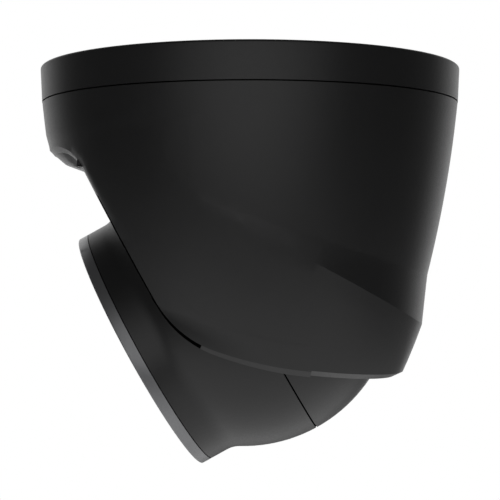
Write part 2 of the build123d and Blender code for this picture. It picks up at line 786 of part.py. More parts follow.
with BuildPart() as chassis_screws:
    discs(
        eye, chassis_head_r, 3, chassis_screw_circle_r,
        chassis_rear_s - m3_head_h, chassis_rear_s, first_angle=chassis_screw_angle,
    )
    discs(
        eye, m3_r, 3, chassis_screw_circle_r,
        chassis_rear_s, chassis_rear_s + chassis_screw_length, first_angle=chassis_screw_angle,
    )

main_front_s = chassis_rear_s - main_spacer_length
main_rear_s = main_front_s - board_t
board_screw_end_s = main_front_s + board_screw_grip

with BuildPart() as board_spacers:
    discs(eye, spacer_r, 4, main_spacer_circle_r, main_front_s, chassis_rear_s, first_angle=screw_angle)
    discs(
        eye, m2_r + bolt_gap, 4, main_spacer_circle_r,
        main_front_s, board_screw_end_s + hole_end, first_angle=screw_angle, mode=Mode.SUBTRACT,
    )

with BuildPart() as main_board:
    ring(eye, main_board_r, 0, main_rear_s, main_front_s)
    discs(
        eye, m2_r + slip_gap, 4, main_spacer_circle_r,
        main_rear_s, main_front_s, first_angle=screw_angle, mode=Mode.SUBTRACT,
    )

with BuildPart() as board_screws:
    discs(
        eye, m2_head_r, 4, main_spacer_circle_r,
        main_rear_s - m2_head_h, main_rear_s, first_angle=screw_angle,
    )
    discs(eye, m2_r, 4, main_spacer_circle_r, main_rear_s, board_screw_end_s, first_angle=screw_angle)

processor_rear_s = main_rear_s - processor_t
pad_rear_s = processor_rear_s - thermal_pad_t
sink_base_rear_s = pad_rear_s - sink_base_t

with BuildPart() as processor:
    block(eye, processor_size, processor_size, processor_rear_s, main_rear_s)

with BuildPart() as thermal_pad:
    block(eye, processor_size, processor_size, pad_rear_s, processor_rear_s)

with BuildPart() as heat_sink:
    block(eye, sink_size, sink_size, sink_base_rear_s, pad_rear_s)
    fin_pitch = (sink_size - sink_fin_t) / (sink_fin_count - 1)
    with BuildSketch(eye.offset(sink_base_rear_s)):
        with GridLocations(fin_pitch, 1, sink_fin_count, 1):
            Rectangle(sink_fin_t, sink_size)
    extrude(amount=-sink_fin_height)

with BuildPart() as board_connector:
    connector_x = -(sink_size / 2 + connector_width / 2 + connector_gap)
    connector_rear_s = main_rear_s - connector_height
    block(eye, connector_width, connector_length, connector_rear_s, main_rear_s, x=connector_x)
    block(
        eye, connector_width - 2 * connector_wall, connector_length - 2 * connector_wall,
        connector_rear_s, main_rear_s - connector_floor, x=connector_x, mode=Mode.SUBTRACT,
    )

sensor_board_rear_s = ring_ledge_rear_s + sensor_spacer_length
sensor_board_front_s = sensor_board_rear_s + board_t
sensor_spacer_circle_r = sensor_spacer_pitch / math.sqrt(2)

with BuildPart() as sensor_spacers:
    discs(
        eye, spacer_r, 4, sensor_spacer_circle_r,
        ring_ledge_rear_s, sensor_board_rear_s, first_angle=screw_angle,
    )

with BuildPart() as sensor_board:
    block(eye, sensor_board_size, sensor_board_size, sensor_board_rear_s, sensor_board_front_s)
    board_corners = sensor_board.edges().filter_by(Axis(ball_centre, aim_dir))
    fillet(board_corners, board_corner_r)

with BuildPart() as image_sensor:
    block(eye, *sensor_size, sensor_board_front_s, sensor_board_front_s + sensor_t)

# ------------------------------------------------------------------ lens
cavity_end_s = sensor_board_front_s + holder_cavity_height
filter_rear_s = cavity_end_s + filter_ledge
neck_s = sensor_board_front_s + holder_height
neck_end_s = neck_s + holder_neck_length
filter_end_s = filter_rear_s + filter_t + filter_room
barrel_rear_s = filter_rear_s + filter_t + barrel_gap
barrel_body_s = neck_end_s + barrel_gap
barrel_head_s = barrel_body_s + barrel_body_length
barrel_front_s = barrel_head_s + barrel_head_length
front_seat_s = barrel_front_s - front_glass_seat
dome_r = (front_glass_r ** 2 + front_glass_rise ** 2) / (2 * front_glass_rise)
dome_centre_s = front_seat_s + front_glass_edge + front_glass_rise - dome_r

with BuildPart() as lens_holder:
    block(eye, holder_size, holder_size, sensor_board_front_s, neck_s)
    ring(eye, holder_neck_r, 0, neck_s, neck_end_s)
    block(eye, holder_cavity, holder_cavity, sensor_board_front_s, cavity_end_s, mode=Mode.SUBTRACT)
    ring(eye, holder_aperture_r, 0, cavity_end_s, filter_rear_s, mode=Mode.SUBTRACT)
    ring(eye, filter_r + slip_gap, 0, filter_rear_s, filter_end_s, mode=Mode.SUBTRACT)
    ring(eye, barrel_thread_r + bolt_gap, 0, filter_end_s, neck_end_s, mode=Mode.SUBTRACT)

with BuildPart() as cut_filter:
    ring(eye, filter_r, 0, filter_rear_s, filter_rear_s + filter_t)

with BuildPart() as lens_barrel:
    ring(eye, barrel_thread_r, 0, barrel_rear_s, barrel_body_s)
    ring(eye, barrel_body_r, 0, barrel_body_s, barrel_head_s)
    ring(eye, barrel_head_r, 0, barrel_head_s, barrel_front_s)
    ring(eye, barrel_bore_r, 0, barrel_rear_s, front_seat_s, mode=Mode.SUBTRACT)
    ring(eye, front_glass_r + slip_gap, 0, front_seat_s, barrel_front_s, mode=Mode.SUBTRACT)
    front_rim = lens_barrel.edges().filter_by(GeomType.CIRCLE).sort_by(Axis(ball_centre, aim_dir))[-1]
    chamfer(front_rim, barrel_edge)

with BuildPart() as front_lens:
    with BuildSketch(eye_section):
        with BuildLine():
            Polyline(
                (0, dome_centre_s + dome_r),
                (0, front_seat_s),
                (front_glass_r, front_seat_s),
                (front_glass_r, front_seat_s + front_glass_edge),
            )
            ThreePointArc(
                (front_glass_r, front_seat_s + front_glass_edge),
                (front_glass_r / 2, dome_centre_s + sphere_s(dome_r, front_glass_r / 2)),
                (0, dome_centre_s + dome_r),
            )
        make_face()
    revolve(axis=optical_axis)

with BuildPart() as rear_lens:
    ring(eye, rear_glass_r, 0, barrel_rear_s + rear_glass_in, barrel_rear_s + rear_glass_in + rear_glass_t)

# ------------------------------------------------------------------ front: mask, lights, window, bezel
bezel_rear_s = collar_end_s + bezel_seam
window_front_s = bezel_front_s - bezel_lip_t
window_rear_s = window_front_s - window_t
mask_front_s = window_rear_s - window_gasket_t
mask_rear_s = mask_front_s - mask_t
led_board_front_s = mask_rear_s - post_length
led_board_rear_s = led_board_front_s - led_board_t
post_circle_r = window_r - post_inset
microphone_offset = window_r - microphone_inset

with BuildPart() as lens_shroud:
    ring(eye, mask_lens_r - slip_gap, shroud_inner_r, shroud_rear_s, window_rear_s - slip_gap)

with BuildPart() as front_mask:
    ring(eye, window_r - slip_gap, mask_lens_r, mask_rear_s, mask_front_s)
    ring(eye, window_r - slip_gap, window_r - slip_gap - mask_rim, mask_ledge_s, mask_rear_s)
    discs(eye, post_r, 3, post_circle_r, led_board_front_s, mask_rear_s)
    discs(
        eye, m2_r + bolt_gap, 3, post_circle_r,
        led_board_front_s, mask_rear_s - hole_end, mode=Mode.SUBTRACT,
    )
    discs(eye, led_window_r, 2, led_offset, mask_rear_s, mask_front_s, first_angle=90, mode=Mode.SUBTRACT)
    discs(eye, microphone_port_r, 1, microphone_offset, mask_rear_s, mask_front_s, 180, mode=Mode.SUBTRACT)
    discs(eye, light_port_r, 1, microphone_offset, mask_rear_s, mask_front_s, mode=Mode.SUBTRACT)

with BuildPart() as led_windows:
    discs(eye, led_window_r - slip_gap, 2, led_offset, mask_rear_s, mask_front_s, first_angle=90)

with BuildPart() as led_board:
    ring(eye, window_r - led_board_inset, led_board_inner_r, led_board_rear_s, led_board_front_s)
    discs(
        eye, m2_r + slip_gap, 3, post_circle_r,
        led_board_rear_s, led_board_front_s, mode=Mode.SUBTRACT,
    )

with BuildPart() as led_board_screws:
    discs(eye, m2_head_r, 3, post_circle_r, led_board_rear_s - m2_head_h, led_board_rear_s)
    discs(eye, m2_r, 3, post_circle_r, led_board_rear_s, mask_rear_s - 2 * hole_end)

with BuildPart() as leds:
    for y in (led_offset, -led_offset):
        block(eye, led_size, led_size, led_board_front_s, led_board_front_s + led_t, y=y)

with BuildPart() as led_reflectors:
    with BuildSketch(eye.offset(led_board_front_s)):
        with PolarLocations(led_offset, 2, start_angle=90):
            Circle(reflector_r)
    extrude(amount=post_length)
    with BuildSketch(eye.offset(led_board_front_s)):
        with PolarLocations(led_offset, 2, start_angle=90):
            Circle(reflector_base_r)
    extrude(amount=post_length, taper=-reflector_slope, mode=Mode.SUBTRACT)

with BuildPart() as microphone:
    discs(eye, microphone_r, 1, microphone_offset, led_board_front_s, led_board_front_s + microphone_t, 180)

with BuildPart() as light_sensor:
    block(
        eye, *light_sensor_size, led_board_front_s,
        led_board_front_s + light_sensor_t, x=microphone_offset,
    )

with BuildPart() as window_gasket:
    ring(eye, window_r - slip_gap, window_r - slip_gap - window_gasket_width, mask_front_s, window_rear_s)

with BuildPart() as front_window:
    ring(eye, window_r, 0, window_rear_s, window_front_s)

bezel_seal_floor_r = collar_r - bezel_seal_in

with BuildPart() as bezel_ring:
    ring(eye, collar_r, 0, bezel_rear_s, bezel_front_s)
    front_rim = bezel_ring.edges().filter_by(GeomType.CIRCLE).sort_by(Axis(ball_centre, aim_dir))[-1]
    fillet(front_rim, bezel_edge_round)
    ring(eye, collar_inner_r - slip_gap, 0, collar_end_s - bezel_spigot, bezel_rear_s)
    ring(eye, window_r + slip_gap, 0, collar_end_s - bezel_spigot, window_front_s, mode=Mode.SUBTRACT)
    ring(eye, window_r - bezel_lip_overlap, 0, window_front_s, bezel_front_s, mode=Mode.SUBTRACT)
    seal_span = (bezel_seal_s - seal_half, bezel_seal_s + seal_half)
    ring(eye, collar_r, bezel_seal_floor_r, *seal_span, mode=Mode.SUBTRACT)

with BuildPart() as bezel_seal:
    with BuildSketch(eye_section):
        with Locations((bezel_seal_floor_r + bezel_cord_r, bezel_seal_s)):
            Circle(bezel_cord_r)
    revolve(axis=optical_axis)

# ------------------------------------------------------------------ one STEP file for each piece
pieces = {
    "base_ring": base_ring,
    "base_gasket": base_gasket,
    "cable_grommet": cable_grommet,
    "pan_bearing": pan_bearing,
    "retaining_ring": retaining_ring,
    "retaining_screws": retaining_screws,
    "shell": shell,
    "pan_plate": pan_plate,
    "pan_plate_screws": pan_plate_screws,
    "tilt_yoke": tilt_yoke,
    "tilt_pins": tilt_pins,
    "pivot_washer": pivot_washer,
    "ball_rear": ball_rear,
    "ball_front": ball_front,
    "ball_seal": ball_seal,
    "ball_screws": ball_screws,
    "pivot_stud": pivot_stud,
    "pivot_nut": pivot_nut,
    "stud_seal": stud_seal,
    "chassis": chassis,
    "chassis_screws": chassis_screws,
    "board_spacers": board_spacers,
    "main_board": main_board,
    "board_screws": board_screws,
    "processor": processor,
    "thermal_pad": thermal_pad,
    "heat_sink": heat_sink,
    "board_connector": board_connector,
    "sensor_spacers": sensor_spacers,
    "sensor_board": sensor_board,
    "image_sensor": image_sensor,
    "lens_holder": lens_holder,
    "cut_filter": cut_filter,
    "lens_barrel": lens_barrel,
    "front_lens": front_lens,
    "rear_lens": rear_lens,
    "lens_shroud": lens_shroud,
    "front_mask": front_mask,
    "led_windows": led_windows,
    "led_board": led_board,
    "led_board_screws": led_board_screws,
    "leds": leds,
    "led_reflectors": led_reflectors,
    "microphone": microphone,
    "light_sensor": light_sensor,
    "window_gasket": window_gasket,
    "front_window": front_window,
    "bezel_ring": bezel_ring,
    "bezel_seal": bezel_seal,
}
for name, piece in pieces.items():
    piece.part.label = name
    export_step(piece.part, f"parts/{name}.step")
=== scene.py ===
"""Looks of the turret security camera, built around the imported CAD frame.

Metres, in the frame of the CAD: the origin is the centre of the ceiling face, +Z points up into the
ceiling and the lens looks towards -X, 61 degrees away from straight down.
"""

import math

import bmesh
import bpy
import numpy as np
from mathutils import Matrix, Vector
from mathutils.kdtree import KDTree


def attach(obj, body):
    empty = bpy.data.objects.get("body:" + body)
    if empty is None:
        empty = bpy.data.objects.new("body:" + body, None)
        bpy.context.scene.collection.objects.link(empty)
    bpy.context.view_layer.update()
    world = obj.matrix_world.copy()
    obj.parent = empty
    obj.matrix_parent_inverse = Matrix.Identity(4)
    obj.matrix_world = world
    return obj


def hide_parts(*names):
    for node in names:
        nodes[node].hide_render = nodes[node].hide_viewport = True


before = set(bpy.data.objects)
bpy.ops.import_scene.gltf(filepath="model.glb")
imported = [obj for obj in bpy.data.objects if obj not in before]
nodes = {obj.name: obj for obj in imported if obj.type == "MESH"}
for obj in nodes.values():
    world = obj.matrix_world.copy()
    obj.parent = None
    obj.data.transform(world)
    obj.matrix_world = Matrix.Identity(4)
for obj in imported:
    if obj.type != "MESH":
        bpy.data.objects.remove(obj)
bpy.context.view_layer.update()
scene = bpy.context.scene

MM = 0.001
BALL_CENTRE = (-2.1, 0, -74.3)     # millimetres

# ------------------------------------------------------------------ camera
CAMERA_PLACE = (0.0, -0.4428, -0.0596)
CAMERA_LENS = 95.4
SENSOR_WIDTH = 36.0


def add_object(name, data):
    """Puts new data into the scene as an object."""
    obj = bpy.data.objects.new(name, data)
    scene.collection.objects.link(obj)
    return obj


def flat_mesh(name, points, faces, *materials):
    """A mesh of flat-shaded faces with its materials."""
    mesh = bpy.data.meshes.new(name)
    mesh.from_pydata(points, [], faces)
    for material in materials:
        mesh.materials.append(material)
    return mesh


camera_data = bpy.data.cameras.new("camera")
camera_data.lens = CAMERA_LENS
camera_data.sensor_width = SENSOR_WIDTH
camera = add_object("camera", camera_data)
camera.location = CAMERA_PLACE
camera.rotation_euler = (math.radians(90), 0, 0)
scene.camera = camera
scene.view_settings.view_transform = "Standard"


# ------------------------------------------------------------------ node helpers
class Nodes:
    """A material's or world's node tree, with short calls for the nodes used here."""

    def __init__(self, owner):
        owner.use_nodes = True
        self.tree = owner.node_tree
        self.tree.nodes.clear()

    def add(self, kind, **settings):
        node = self.tree.nodes.new("ShaderNode" + kind)
        for name, value in settings.items():
            setattr(node, name, value)
        return node

    def feed(self, socket, value):
        """Links a node's first output or an output socket to a socket, or sets the socket's value."""
        if isinstance(value, bpy.types.Node):
            value = value.outputs[0]
        if isinstance(value, bpy.types.NodeSocket):
            self.tree.links.new(value, socket)
        else:
            socket.default_value = value
        return socket

    def place(self):
        return self.add("TexCoord").outputs["Object"]

    def noise(self, size, detail=2.0, roughness=0.5, stretch=None):
        """Noise with features of about a size in metres, 0 to 1. stretch squeezes it along the axes."""
        place = self.place()
        if stretch:
            mapping = self.add("Mapping")
            self.feed(mapping.inputs["Vector"], place)
            mapping.inputs["Scale"].default_value = stretch
            place = mapping.outputs[0]
        noise = self.add("TexNoise")
        self.feed(noise.inputs["Vector"], place)
        noise.inputs["Scale"].default_value = 1 / size
        noise.inputs["Detail"].default_value = detail
        noise.inputs["Roughness"].default_value = roughness
        return noise.outputs["Fac"]

    def voronoi(self, size, feature="F1", output="Distance", randomness=1.0):
        cells = self.add("TexVoronoi", feature=feature)
        self.feed(cells.inputs["Vector"], self.place())
        cells.inputs["Scale"].default_value = 1 / size
        cells.inputs["Randomness"].default_value = randomness
        return cells.outputs[output]

    def math(self, operation, a, b=0.0):
        node = self.add("Math", operation=operation)
        self.feed(node.inputs[0], a)
        self.feed(node.inputs[1], b)
        return node.outputs[0]

    def spread(self, value, low, high, start=0.0, end=1.0):
        """Maps start..end of a value to low..high, held at the ends."""
        node = self.add("MapRange")
        self.feed(node.inputs["Value"], value)
        for name, number in (("From Min", start), ("From Max", end), ("To Min", low), ("To Max", high)):
            node.inputs[name].default_value = number
        return node.outputs[0]

    def blend(self, factor, a, b):
        node = self.add("Mix", data_type="RGBA")
        self.feed(node.inputs["Factor"], factor)
        self.feed(node.inputs["A"], rgba(a))
        self.feed(node.inputs["B"], rgba(b))
        return node.outputs["Result"]

    def bump(self, height, depth, normal=None):
        """Bump of a 0 to 1 height that is depth metres deep."""
        node = self.add("Bump")
        self.feed(node.inputs["Height"], height)
        node.inputs["Distance"].default_value = depth
        if normal is not None:
            self.feed(node.inputs["Normal"], normal)
        return node.outputs[0]


def rgba(colour):
    if isinstance(colour, (bpy.types.NodeSocket, bpy.types.Node)):
        return colour
    if isinstance(colour, (int, float)):
        colour = (colour,) * 3
    return (*colour, 1.0)


def surface(name, build, **values):
    """A Principled material. build adds nodes and returns the linked inputs; values are the plain ones."""
    material = bpy.data.materials.new(name)
    tree = Nodes(material)
    shader = tree.add("BsdfPrincipled")
    for socket, value in values.items():
        shader.inputs[socket.replace("_", " ")].default_value = value
    for socket, value in build(tree).items():
        tree.feed(shader.inputs[socket], rgba(value) if "Color" in socket else value)
    output = tree.add("OutputMaterial")
    tree.tree.links.new(shader.outputs[0], output.inputs["Surface"])
    return material


# ------------------------------------------------------------------ materials
def powder_coat(t):
    """Matte black powder coat on cast alloy: fine orange peel with a still finer grain."""
    grain = t.noise(0.3 * MM, 3)
    peel = t.noise(1.4 * MM, 2)
    cloud = t.spread(t.noise(28 * MM, 3), 0, 1, 0.3, 0.7)
    return {
        "Base Color": t.blend(cloud, (0.0055, 0.0055, 0.0057), (0.0085, 0.0085, 0.0088)),
        "Roughness": t.spread(grain, 0.30, 0.44, 0.3, 0.7),
        "Normal": t.bump(grain, 0.010 * MM, t.bump(peel, 0.016 * MM)),
    }


def painted_gap_shadow(t):
    """Painted shadow at the bottom of a narrow joint: near black, so it takes almost no light."""
    dust = t.noise(0.8 * MM, 3)
    return {
        "Base Color": t.blend(dust, (0.0004, 0.0004, 0.0004), (0.0012, 0.0012, 0.0012)),
        "Roughness": t.spread(dust, 0.8, 0.95, 0.3, 0.7),
    }


def satin_ring(t):
    """Satin graphite finish of the bezel: finer and lighter than the powder coat."""
    grain = t.noise(0.22 * MM, 2)
    cloud = t.spread(t.noise(18 * MM, 2), 0, 1, 0.3, 0.7)
    return {
        "Base Color": t.blend(cloud, (0.200, 0.202, 0.208), (0.235, 0.237, 0.243)),
        "Roughness": t.spread(grain, 0.30, 0.40, 0.3, 0.7),
        "Normal": t.bump(grain, 0.004 * MM),
    }


def moulded_plastic(t):
    """Spark-eroded texture of moulded black plastic."""
    grain = t.noise(0.35 * MM, 3)
    return {
        "Base Color": t.blend(t.noise(9 * MM, 2), (0.010, 0.010, 0.011), (0.016, 0.016, 0.017)),
        "Roughness": t.spread(grain, 0.38, 0.55, 0.3, 0.7),
        "Normal": t.bump(grain, 0.012 * MM),
    }


def soft_rubber(t):
    dust = t.noise(1.1 * MM, 4, 0.65)
    return {
        "Base Color": t.blend(t.spread(dust, 0, 1, 0.45, 0.8), (0.012, 0.012, 0.012), (0.026, 0.026, 0.025)),
        "Roughness": t.spread(dust, 0.68, 0.88, 0.3, 0.7),
        "Normal": t.bump(dust, 0.03 * MM),
    }


def turned_alloy(t):
    """Machined aluminium: fine drawn cutter marks with a slightly uneven sheen."""
    marks = t.noise(2.5 * MM, 3, 0.6, (1, 1, 22))
    cloud = t.noise(14 * MM, 2)
    return {
        "Base Color": t.blend(cloud, (0.62, 0.63, 0.64), (0.74, 0.75, 0.76)),
        "Roughness": t.spread(marks, 0.24, 0.42, 0.3, 0.7),
        "Normal": t.bump(marks, 0.008 * MM),
    }


def zinc_plating(t):
    """Zinc plated steel: a faint bluish bloom in patches."""
    patches = t.noise(3 * MM, 3)
    scratches = t.noise(1.6 * MM, 2, 0.5, (1, 9, 1))
    return {
        "Base Color": t.blend(t.spread(patches, 0, 1, 0.35, 0.65), (0.52, 0.54, 0.57), (0.66, 0.66, 0.65)),
        "Roughness": t.spread(scratches, 0.22, 0.38, 0.3, 0.7),
        "Normal": t.bump(patches, 0.006 * MM),
    }


def natural_nylon(t):
    mottle = t.noise(2.2 * MM, 3)
    return {
        "Base Color": t.blend(mottle, (0.66, 0.63, 0.55), (0.76, 0.74, 0.67)),
        "Roughness": t.spread(mottle, 0.42, 0.55, 0.3, 0.7),
        "Normal": t.bump(t.noise(0.4 * MM, 2), 0.006 * MM),
    }


def turned_brass(t):
    marks = t.noise(1.2 * MM, 3, 0.6, (1, 1, 16))
    return {
        "Base Color": t.blend(t.noise(4 * MM, 2), (0.62, 0.43, 0.16), (0.72, 0.52, 0.22)),
        "Roughness": t.spread(marks, 0.2, 0.34, 0.3, 0.7),
        "Normal": t.bump(marks, 0.006 * MM),
    }


def solder_mask(t):
    """Green board: raised copper runs below the mask, and its clear gloss."""
    runs = t.spread(t.voronoi(2.4 * MM, "DISTANCE_TO_EDGE"), 1, 0, 0.05, 0.13)
    weave = t.noise(0.5 * MM, 2)
    return {
        "Base Color": t.blend(runs, (0.008, 0.055, 0.022), (0.018, 0.115, 0.045)),
        "Roughness": t.spread(weave, 0.22, 0.34, 0.3, 0.7),
        "Normal": t.bump(runs, 0.03 * MM),
    }


def moulded_epoxy(t):
    grain = t.noise(0.16 * MM, 3)
    return {
        "Base Color": t.blend(grain, (0.016, 0.016, 0.017), (0.030, 0.030, 0.031)),
        "Roughness": t.spread(grain, 0.55, 0.75, 0.3, 0.7),
        "Normal": t.bump(grain, 0.006 * MM),
    }


def silicone_pad(t):
    specks = t.noise(0.6 * MM, 3)
    return {
        "Base Color": t.blend(specks, (0.25, 0.27, 0.30), (0.35, 0.37, 0.40)),
        "Roughness": t.spread(specks, 0.6, 0.75, 0.3, 0.7),
        "Normal": t.bump(specks, 0.02 * MM),
    }


def sensor_cover(t):
    """Cover glass over the chip, whose fine grid of cells shimmers green and violet."""
    cells = t.spread(t.voronoi(0.08 * MM, "F1", "Distance", 0.0), 0, 1, 0.2, 0.6)
    return {
        "Base Color": t.blend(cells, (0.018, 0.045, 0.036), (0.050, 0.022, 0.062)),
        "Roughness": t.spread(t.noise(2 * MM, 2), 0.05, 0.10, 0.3, 0.7),
    }


def tinted_window(t):
    """Flat polished window, smoke tinted and coated."""
    wipe = t.noise(11 * MM, 3, 0.6, (1, 3, 1))
    return {
        "Base Color": t.blend(t.noise(20 * MM, 2), (0.004, 0.004, 0.005), (0.007, 0.007, 0.009)),
        "Roughness": t.spread(wipe, 0.02, 0.06, 0.35, 0.75),
    }


def coated_glass(t):
    """Optical glass under a blue-violet antireflection coat."""
    return {
        "Base Color": t.blend(t.noise(3 * MM, 2), (0.010, 0.010, 0.020), (0.020, 0.014, 0.034)),
        "Roughness": t.spread(t.noise(1.5 * MM, 2), 0.015, 0.04, 0.3, 0.7),
    }


def silicone_dome(t):
    """Light emitters: yellow phosphor seen through clear silicone."""
    grain = t.noise(0.25 * MM, 3)
    return {
        "Base Color": t.blend(grain, (0.78, 0.62, 0.16), (0.86, 0.74, 0.28)),
        "Roughness": t.spread(grain, 0.18, 0.30, 0.3, 0.7),
        "Normal": t.bump(grain, 0.006 * MM),
    }


def metallised(t):
    """Vacuum metallised reflector cup with a light orange peel."""
    peel = t.noise(0.9 * MM, 2)
    return {
        "Base Color": t.blend(peel, (0.84, 0.85, 0.86), (0.90, 0.90, 0.90)),
        "Roughness": t.spread(peel, 0.08, 0.18, 0.3, 0.7),
        "Normal": t.bump(peel, 0.010 * MM),
    }


def pressed_can(t):
    return {
        "Base Color": t.blend(t.noise(1 * MM, 3), (0.55, 0.55, 0.54), (0.68, 0.68, 0.66)),
        "Roughness": t.spread(t.noise(0.3 * MM, 2), 0.24, 0.36, 0.3, 0.7),
    }


MATERIALS = {
    "black_alloy": surface("black_alloy", powder_coat, Specular_IOR_Level=0.5),
    "black_plastic": surface("black_plastic", moulded_plastic),
    "black_rubber": surface("black_rubber", soft_rubber, Specular_IOR_Level=0.35),
    "steel": surface("steel", zinc_plating, Metallic=1.0),
    "raw_alloy": surface("raw_alloy", turned_alloy, Metallic=1.0),
    "nylon": surface("nylon", natural_nylon, Subsurface_Weight=0.15, Subsurface_Scale=1 * MM),
    "brass": surface("brass", turned_brass, Metallic=1.0),
    "circuit_board": surface("circuit_board", solder_mask, Coat_Weight=0.4, Coat_Roughness=0.15),
    "chip": surface("chip", moulded_epoxy),
    "thermal_pad": surface("thermal_pad", silicone_pad),
    "sensor_glass": surface("sensor_glass", sensor_cover, Coat_Weight=1.0, Coat_Roughness=0.02),
    "dark_window": surface("dark_window", tinted_window, Alpha=0.52, Coat_Weight=0.5, Coat_Roughness=0.02),
    "lens_glass": surface(
        "lens_glass", coated_glass, Alpha=0.55, IOR=1.6, Coat_Weight=1.0, Coat_Roughness=0.015,
        Thin_Film_Thickness=420.0, Thin_Film_IOR=1.38,
    ),
    "led_white": surface("led_white", silicone_dome, Coat_Weight=0.8, Coat_Roughness=0.05),
    "reflector": surface("reflector", metallised, Metallic=1.0),
    "microphone_steel": surface("microphone_steel", pressed_can, Metallic=1.0),
}
# shadow_gap: painted shadow, a near-black material put in narrow joints and on the lip where shade falls
SHADOW_GAP = surface("shadow_gap", painted_gap_shadow, Specular_IOR_Level=0.0)
SATIN_RING = surface("satin_ring", satin_ring, Metallic=0.85)
for name, node in nodes.items():
    for slot in node.material_slots:
        slot.material = SATIN_RING if name == "bezel_ring" else MATERIALS[slot.material.name]

# ------------------------------------------------------------------ smooth shading of the carried-over parts
WELD_GAP = 0.001 * MM
SMOOTH_ANGLE = math.radians(25)


def split_creases(obj, angle):
    split = obj.modifiers.new("crease", "EDGE_SPLIT")
    split.split_angle = angle
    split.use_edge_sharp = False


def smooth(obj):
    """Welds the corners that the file holds twice and shades the mesh smooth up to an angle."""
    weld = obj.modifiers.new("weld", "WELD")
    weld.merge_threshold = WELD_GAP
    obj.data.polygons.foreach_set("use_smooth", [True] * len(obj.data.polygons))
    split_creases(obj, SMOOTH_ANGLE)


for node in nodes.values():
    smooth(node)

# ------------------------------------------------------------------ outer wall of the shell, in millimetres
# The wall is what a leaning form has in common with an upright one, which is a barrel joined to a skirt.
# Barrel and leaning form are turned arcs: the centre's distance from the axis and level, and the radius.
BARREL_ARC = (-324.11, 28.08, 394.66)
SKIRT_X = BALL_CENTRE[0]
SKIRT_LEVEL = -43.6
SKIRT_RADIUS = 63.45
SKIRT_SLOPE = 0.1085
LEAN_FOOT = (4.58, -59.6)
LEAN_ANGLE = math.radians(5)
LEAN_ARC = (-133.57, 54.756, 201.85)


def arc_radius(arc, level):
    centre, centre_level, radius = arc
    return centre + np.sqrt(radius ** 2 - (level - centre_level) ** 2)


def wall_forms(x, z):
    """Barrel, skirt and leaning form beside side-view places: their radii, and the places' offsets."""
    dx, dz = x - LEAN_FOOT[0], z - LEAN_FOOT[1]
    lean_offset = dx * math.cos(LEAN_ANGLE) + dz * math.sin(LEAN_ANGLE)
    lean_level = dz * math.cos(LEAN_ANGLE) - dx * math.sin(LEAN_ANGLE)
    return (
        (arc_radius(BARREL_ARC, z), x),
        (SKIRT_RADIUS + SKIRT_SLOPE * (z - SKIRT_LEVEL), x - SKIRT_X),
        (arc_radius(LEAN_ARC, lean_level), lean_offset),
    )


def wall_depths(x, y, z):
    """How far points lie inside the upright form and inside the leaning one."""
    barrel, skirt, leaning = [radius - np.hypot(offset, y) for radius, offset in wall_forms(x, z)]
    return np.maximum(barrel, skirt), leaning


def wall_half_width(x, z):
    """Distance of the wall from the mid plane beside side-view places."""
    halves = [np.sqrt(np.maximum(radius ** 2 - offset ** 2, 0)) for radius, offset in wall_forms(x, z)]
    barrel, skirt, leaning = halves
    return np.minimum(np.maximum(barrel, skirt), leaning)


# ------------------------------------------------------------------ lower edge of the shell, in millimetres
# Its side view is a flat brow, the brow arc, the straight face, the heel, belly and tail arcs, and a straight
# run out. Each arc is its radius and its turn in degrees.
EDGE_START = (-80.0, -26.8)
BROW_END_X = -63.0
EDGE_ARCS = ((14.0, -61.0), (33.0, 42.0), (129.0, 10.5), (600.0, 3.5))
FACE_RUN = 45.8
RUN_OUT = 40.0
EDGE_STEP = 0.25
# The lip's height and depth, as shares of the CAD lip's, at places along the edge from the brow's start.
LIP_PLACES = (0.0, 17.0, 32.0, 78.0, 102.0, 125.0, 162.0, 200.0)
LIP_HEIGHTS = (1.0, 1.0, 0.22, 0.22, 0.72, 1.0, 0.95, 0.92)
LIP_DEPTHS = (1.0, 1.0, 0.4, 0.4, 1.0, 1.3, 1.9, 2.4)
LIP_FULL = 1.8                      # height of the CAD lip
LIP_OUTER = 1.35                    # depth of its outer part, the one that is reshaped
LIP_BAND = (0.02, LIP_FULL + 0.1)   # what lies this far below the edge belongs to the lip
SHADOW_PAINT_BAND = (-0.05, LIP_BAND[1])
SHADOW_PAINT_RUN = (40.0, 98.0)             # along the face and into the heel the lip is painted with the gap's shadow


def between(values, limits):
    return (values > limits[0]) & (values < limits[1])


def lower_edge():
    """Points along the lower edge, each with its distance from the brow's start and its travel angle."""
    x, z, angle, run = *EDGE_START, 0.0, 0.0
    points = []

    def go(length, turn_per_mm):
        nonlocal x, z, angle, run
        for _ in range(round(length / EDGE_STEP)):
            points.append((x, z, run, angle))
            angle += turn_per_mm * EDGE_STEP / 2
            x += math.cos(angle) * EDGE_STEP
            z += math.sin(angle) * EDGE_STEP
            angle += turn_per_mm * EDGE_STEP / 2
            run += EDGE_STEP

    go(BROW_END_X - EDGE_START[0], 0)
    for number, (radius, turn) in enumerate(EDGE_ARCS):
        turn = math.radians(turn)
        go(radius * abs(turn), math.copysign(1 / radius, turn))
        if number == 0:
            go(FACE_RUN, 0)
    go(RUN_OUT, 0)
    return np.array(points)


def beside_edge(x, z):
    """The nearest place along the edge, the way out of the shell there, and the distance gone that way."""
    edge = lower_edge()
    tree = KDTree(len(edge))
    for index, point in enumerate(edge):
        tree.insert((point[0], point[1], 0), index)
    tree.balance()
    nearest = [tree.find((px, pz, 0))[1] for px, pz in zip(x, z)]
    edge_x, edge_z, run, angle = edge[nearest].T
    out_x, out_z = np.sin(angle), -np.cos(angle)
    return run, out_x, out_z, (x - edge_x) * out_x + (z - edge_z) * out_z


# ------------------------------------------------------------------ outer skin of the shell
SEAT_R = 50.75                      # radius of the shell's seat round the ball
CREASE_REACH = 0.03                 # how near to both forms a vertex of the wall's crease lies
CREASE_BEND = math.radians(1.5)
CREASE_FROM_X = 18.0                # further forward the wall has no visible crease


